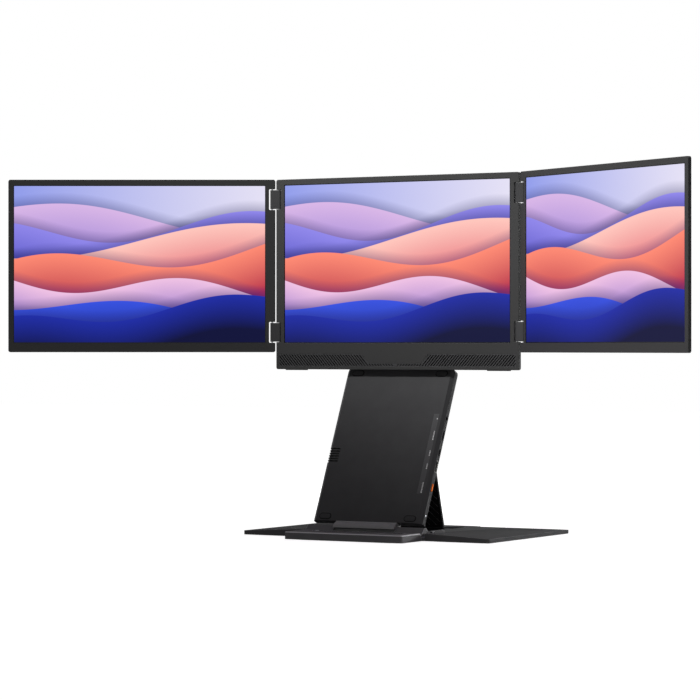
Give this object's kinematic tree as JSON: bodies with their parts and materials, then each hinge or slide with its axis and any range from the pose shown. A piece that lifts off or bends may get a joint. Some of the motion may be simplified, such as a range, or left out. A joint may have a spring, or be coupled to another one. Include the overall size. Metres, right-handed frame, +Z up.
{
  "type": "laptop screen extender",
  "caption": "Laptop screen extender: side screens hinged by links to a centre screen, carried by a leaning column with a folding strut on a base with fold-up wings.",
  "frame": {"origin": "middle of the base's footprint, on the table, at the underside of its centre rubber pad", "axes": "+X to the user's right along the screens, +Y away from the user, +Z up"},
  "size_m": [0.8834, 0.2912, 0.4201],
  "materials": {
    "dark_shell": "fine moulded texture",
    "column_metal": "dark anodised",
    "base_metal": "dark anodised, fine blasted",
    "hinge_steel": "brushed",
    "hinge_black": "satin black",
    "port_steel": "plated",
    "display_face": "lit picture",
    "backlight": "white light guide",
    "rubber": "matte",
    "circuit": "solder mask",
    "grille": "slotted",
    "label": "printed strip",
    "button_orange": "satin",
    "light_white": "translucent",
    "steel_weight": "zinc plated"
  },
  "bodies": {
    "base": {"base_housing": "base_metal", "column_hinge_pin": "hinge_steel", "wing_hinge_pins": "hinge_steel", "base_groove_strip": "rubber", "ballast_bar": "steel_weight", "ballast_cover": "dark_shell", "base_screws": "hinge_steel", "base_feet": "rubber"},
    "wing_left": {"left_wing": "base_metal", "left_wing_weight": "steel_weight", "left_wing_feet": "rubber"},
    "wing_right": {"right_wing": "base_metal", "right_wing_weight": "steel_weight", "right_wing_feet": "rubber"},
    "column": {"column_rear_shell": "column_metal", "column_front_cover": "column_metal", "port_label_strip": "label", "column_bumpers": "rubber", "column_screws": "hinge_steel", "column_knuckle": "hinge_black", "mainboard": "circuit", "mainboard_screws": "hinge_steel", "usb_a_port": "port_steel", "usb_c_port": "port_steel", "mini_video_port": "port_steel", "audio_port": "dark_shell", "status_light_pipe": "light_white", "button_switch": "dark_shell", "column_hinge_arms": "hinge_black", "tilt_hinge_pins": "hinge_steel"},
    "button": {"side_button": "button_orange"},
    "strut": {"strut_plate": "base_metal", "strut_foot": "rubber", "strut_pin": "hinge_steel"},
    "screen_centre": {"centre_bezel": "dark_shell", "speaker_grille": "grille", "centre_rear_cover": "column_metal", "centre_display": "display_face", "centre_backlight": "backlight", "centre_hinge_bearings": "hinge_steel", "speakers": "dark_shell", "display_driver_board": "circuit", "screen_foot_strips": "rubber", "screen_tilt_bracket": "hinge_black", "tilt_bracket_screws": "hinge_steel"},
    "link_left": {"left_hinge_links": "hinge_black", "left_hinge_pins": "hinge_steel"},
    "link_right": {"right_hinge_links": "hinge_black", "right_hinge_pins": "hinge_steel"},
    "screen_left": {"left_rear_cover": "column_metal", "left_bezel": "dark_shell", "left_display": "display_face", "left_backlight": "backlight", "left_hinge_bearings": "hinge_steel"},
    "screen_right": {"right_rear_cover": "column_metal", "right_bezel": "dark_shell", "right_display": "display_face", "right_backlight": "backlight", "right_hinge_bearings": "hinge_steel"}
  },
  "joints": [
    {"name": "wing_left_fold", "type": "hinge", "parent": "base", "child": "wing_left", "pos_m": [-0.0803, 0, 0.0096], "axis": [0, 1, 0], "range_deg": [0, 90]},
    {"name": "wing_right_fold", "type": "hinge", "parent": "base", "child": "wing_right", "pos_m": [0.0803, 0, 0.0096], "axis": [0, -1, 0], "range_deg": [0, 90]},
    {"name": "column_tilt", "type": "hinge", "parent": "base", "child": "column", "pos_m": [0, -0.071, 0.01], "axis": [1, 0, 0], "range_deg": [0, 25]},
    {"name": "strut_fold", "type": "hinge", "parent": "column", "child": "strut", "pos_m": [0, 0.00836, 0.17215], "axis": [1, 0, 0], "range_deg": [-41.4, 0]},
    {"name": "button_press", "type": "slide", "parent": "column", "child": "button", "axis": [-1, 0, 0], "range_m": [0, 0.0006], "stiffness_N_per_m": 400, "springref_m": -0.001},
    {"name": "screen_tilt", "type": "hinge", "parent": "column", "child": "screen_centre", "pos_m": [0, 0.01583, 0.19857], "axis": [1, 0, 0], "range_deg": [-25, 10]},
    {"name": "link_left_fold", "type": "hinge", "parent": "screen_centre", "child": "link_left", "pos_m": [-0.1588, -0.0021, 0.3], "axis": [0, 0, 1], "range_deg": [-15, 75]},
    {"name": "screen_left_fold", "type": "hinge", "parent": "link_left", "child": "screen_left", "pos_m": [-0.16769, -0.00448, 0.3], "axis": [0, 0, 1], "range_deg": [-15, 75]},
    {"name": "link_right_fold", "type": "hinge", "parent": "screen_centre", "child": "link_right", "pos_m": [0.1588, -0.0021, 0.3], "axis": [0, 0, -1], "range_deg": [-15, 30]},
    {"name": "screen_right_fold", "type": "hinge", "parent": "link_right", "child": "screen_right", "pos_m": [0.16769, -0.00448, 0.3], "axis": [0, 0, -1], "range_deg": [-15, 30]}
  ],
  "couplings": [
    {"joint": "strut_fold", "follows": "column_tilt", "ratio": -1.65}
  ]
}
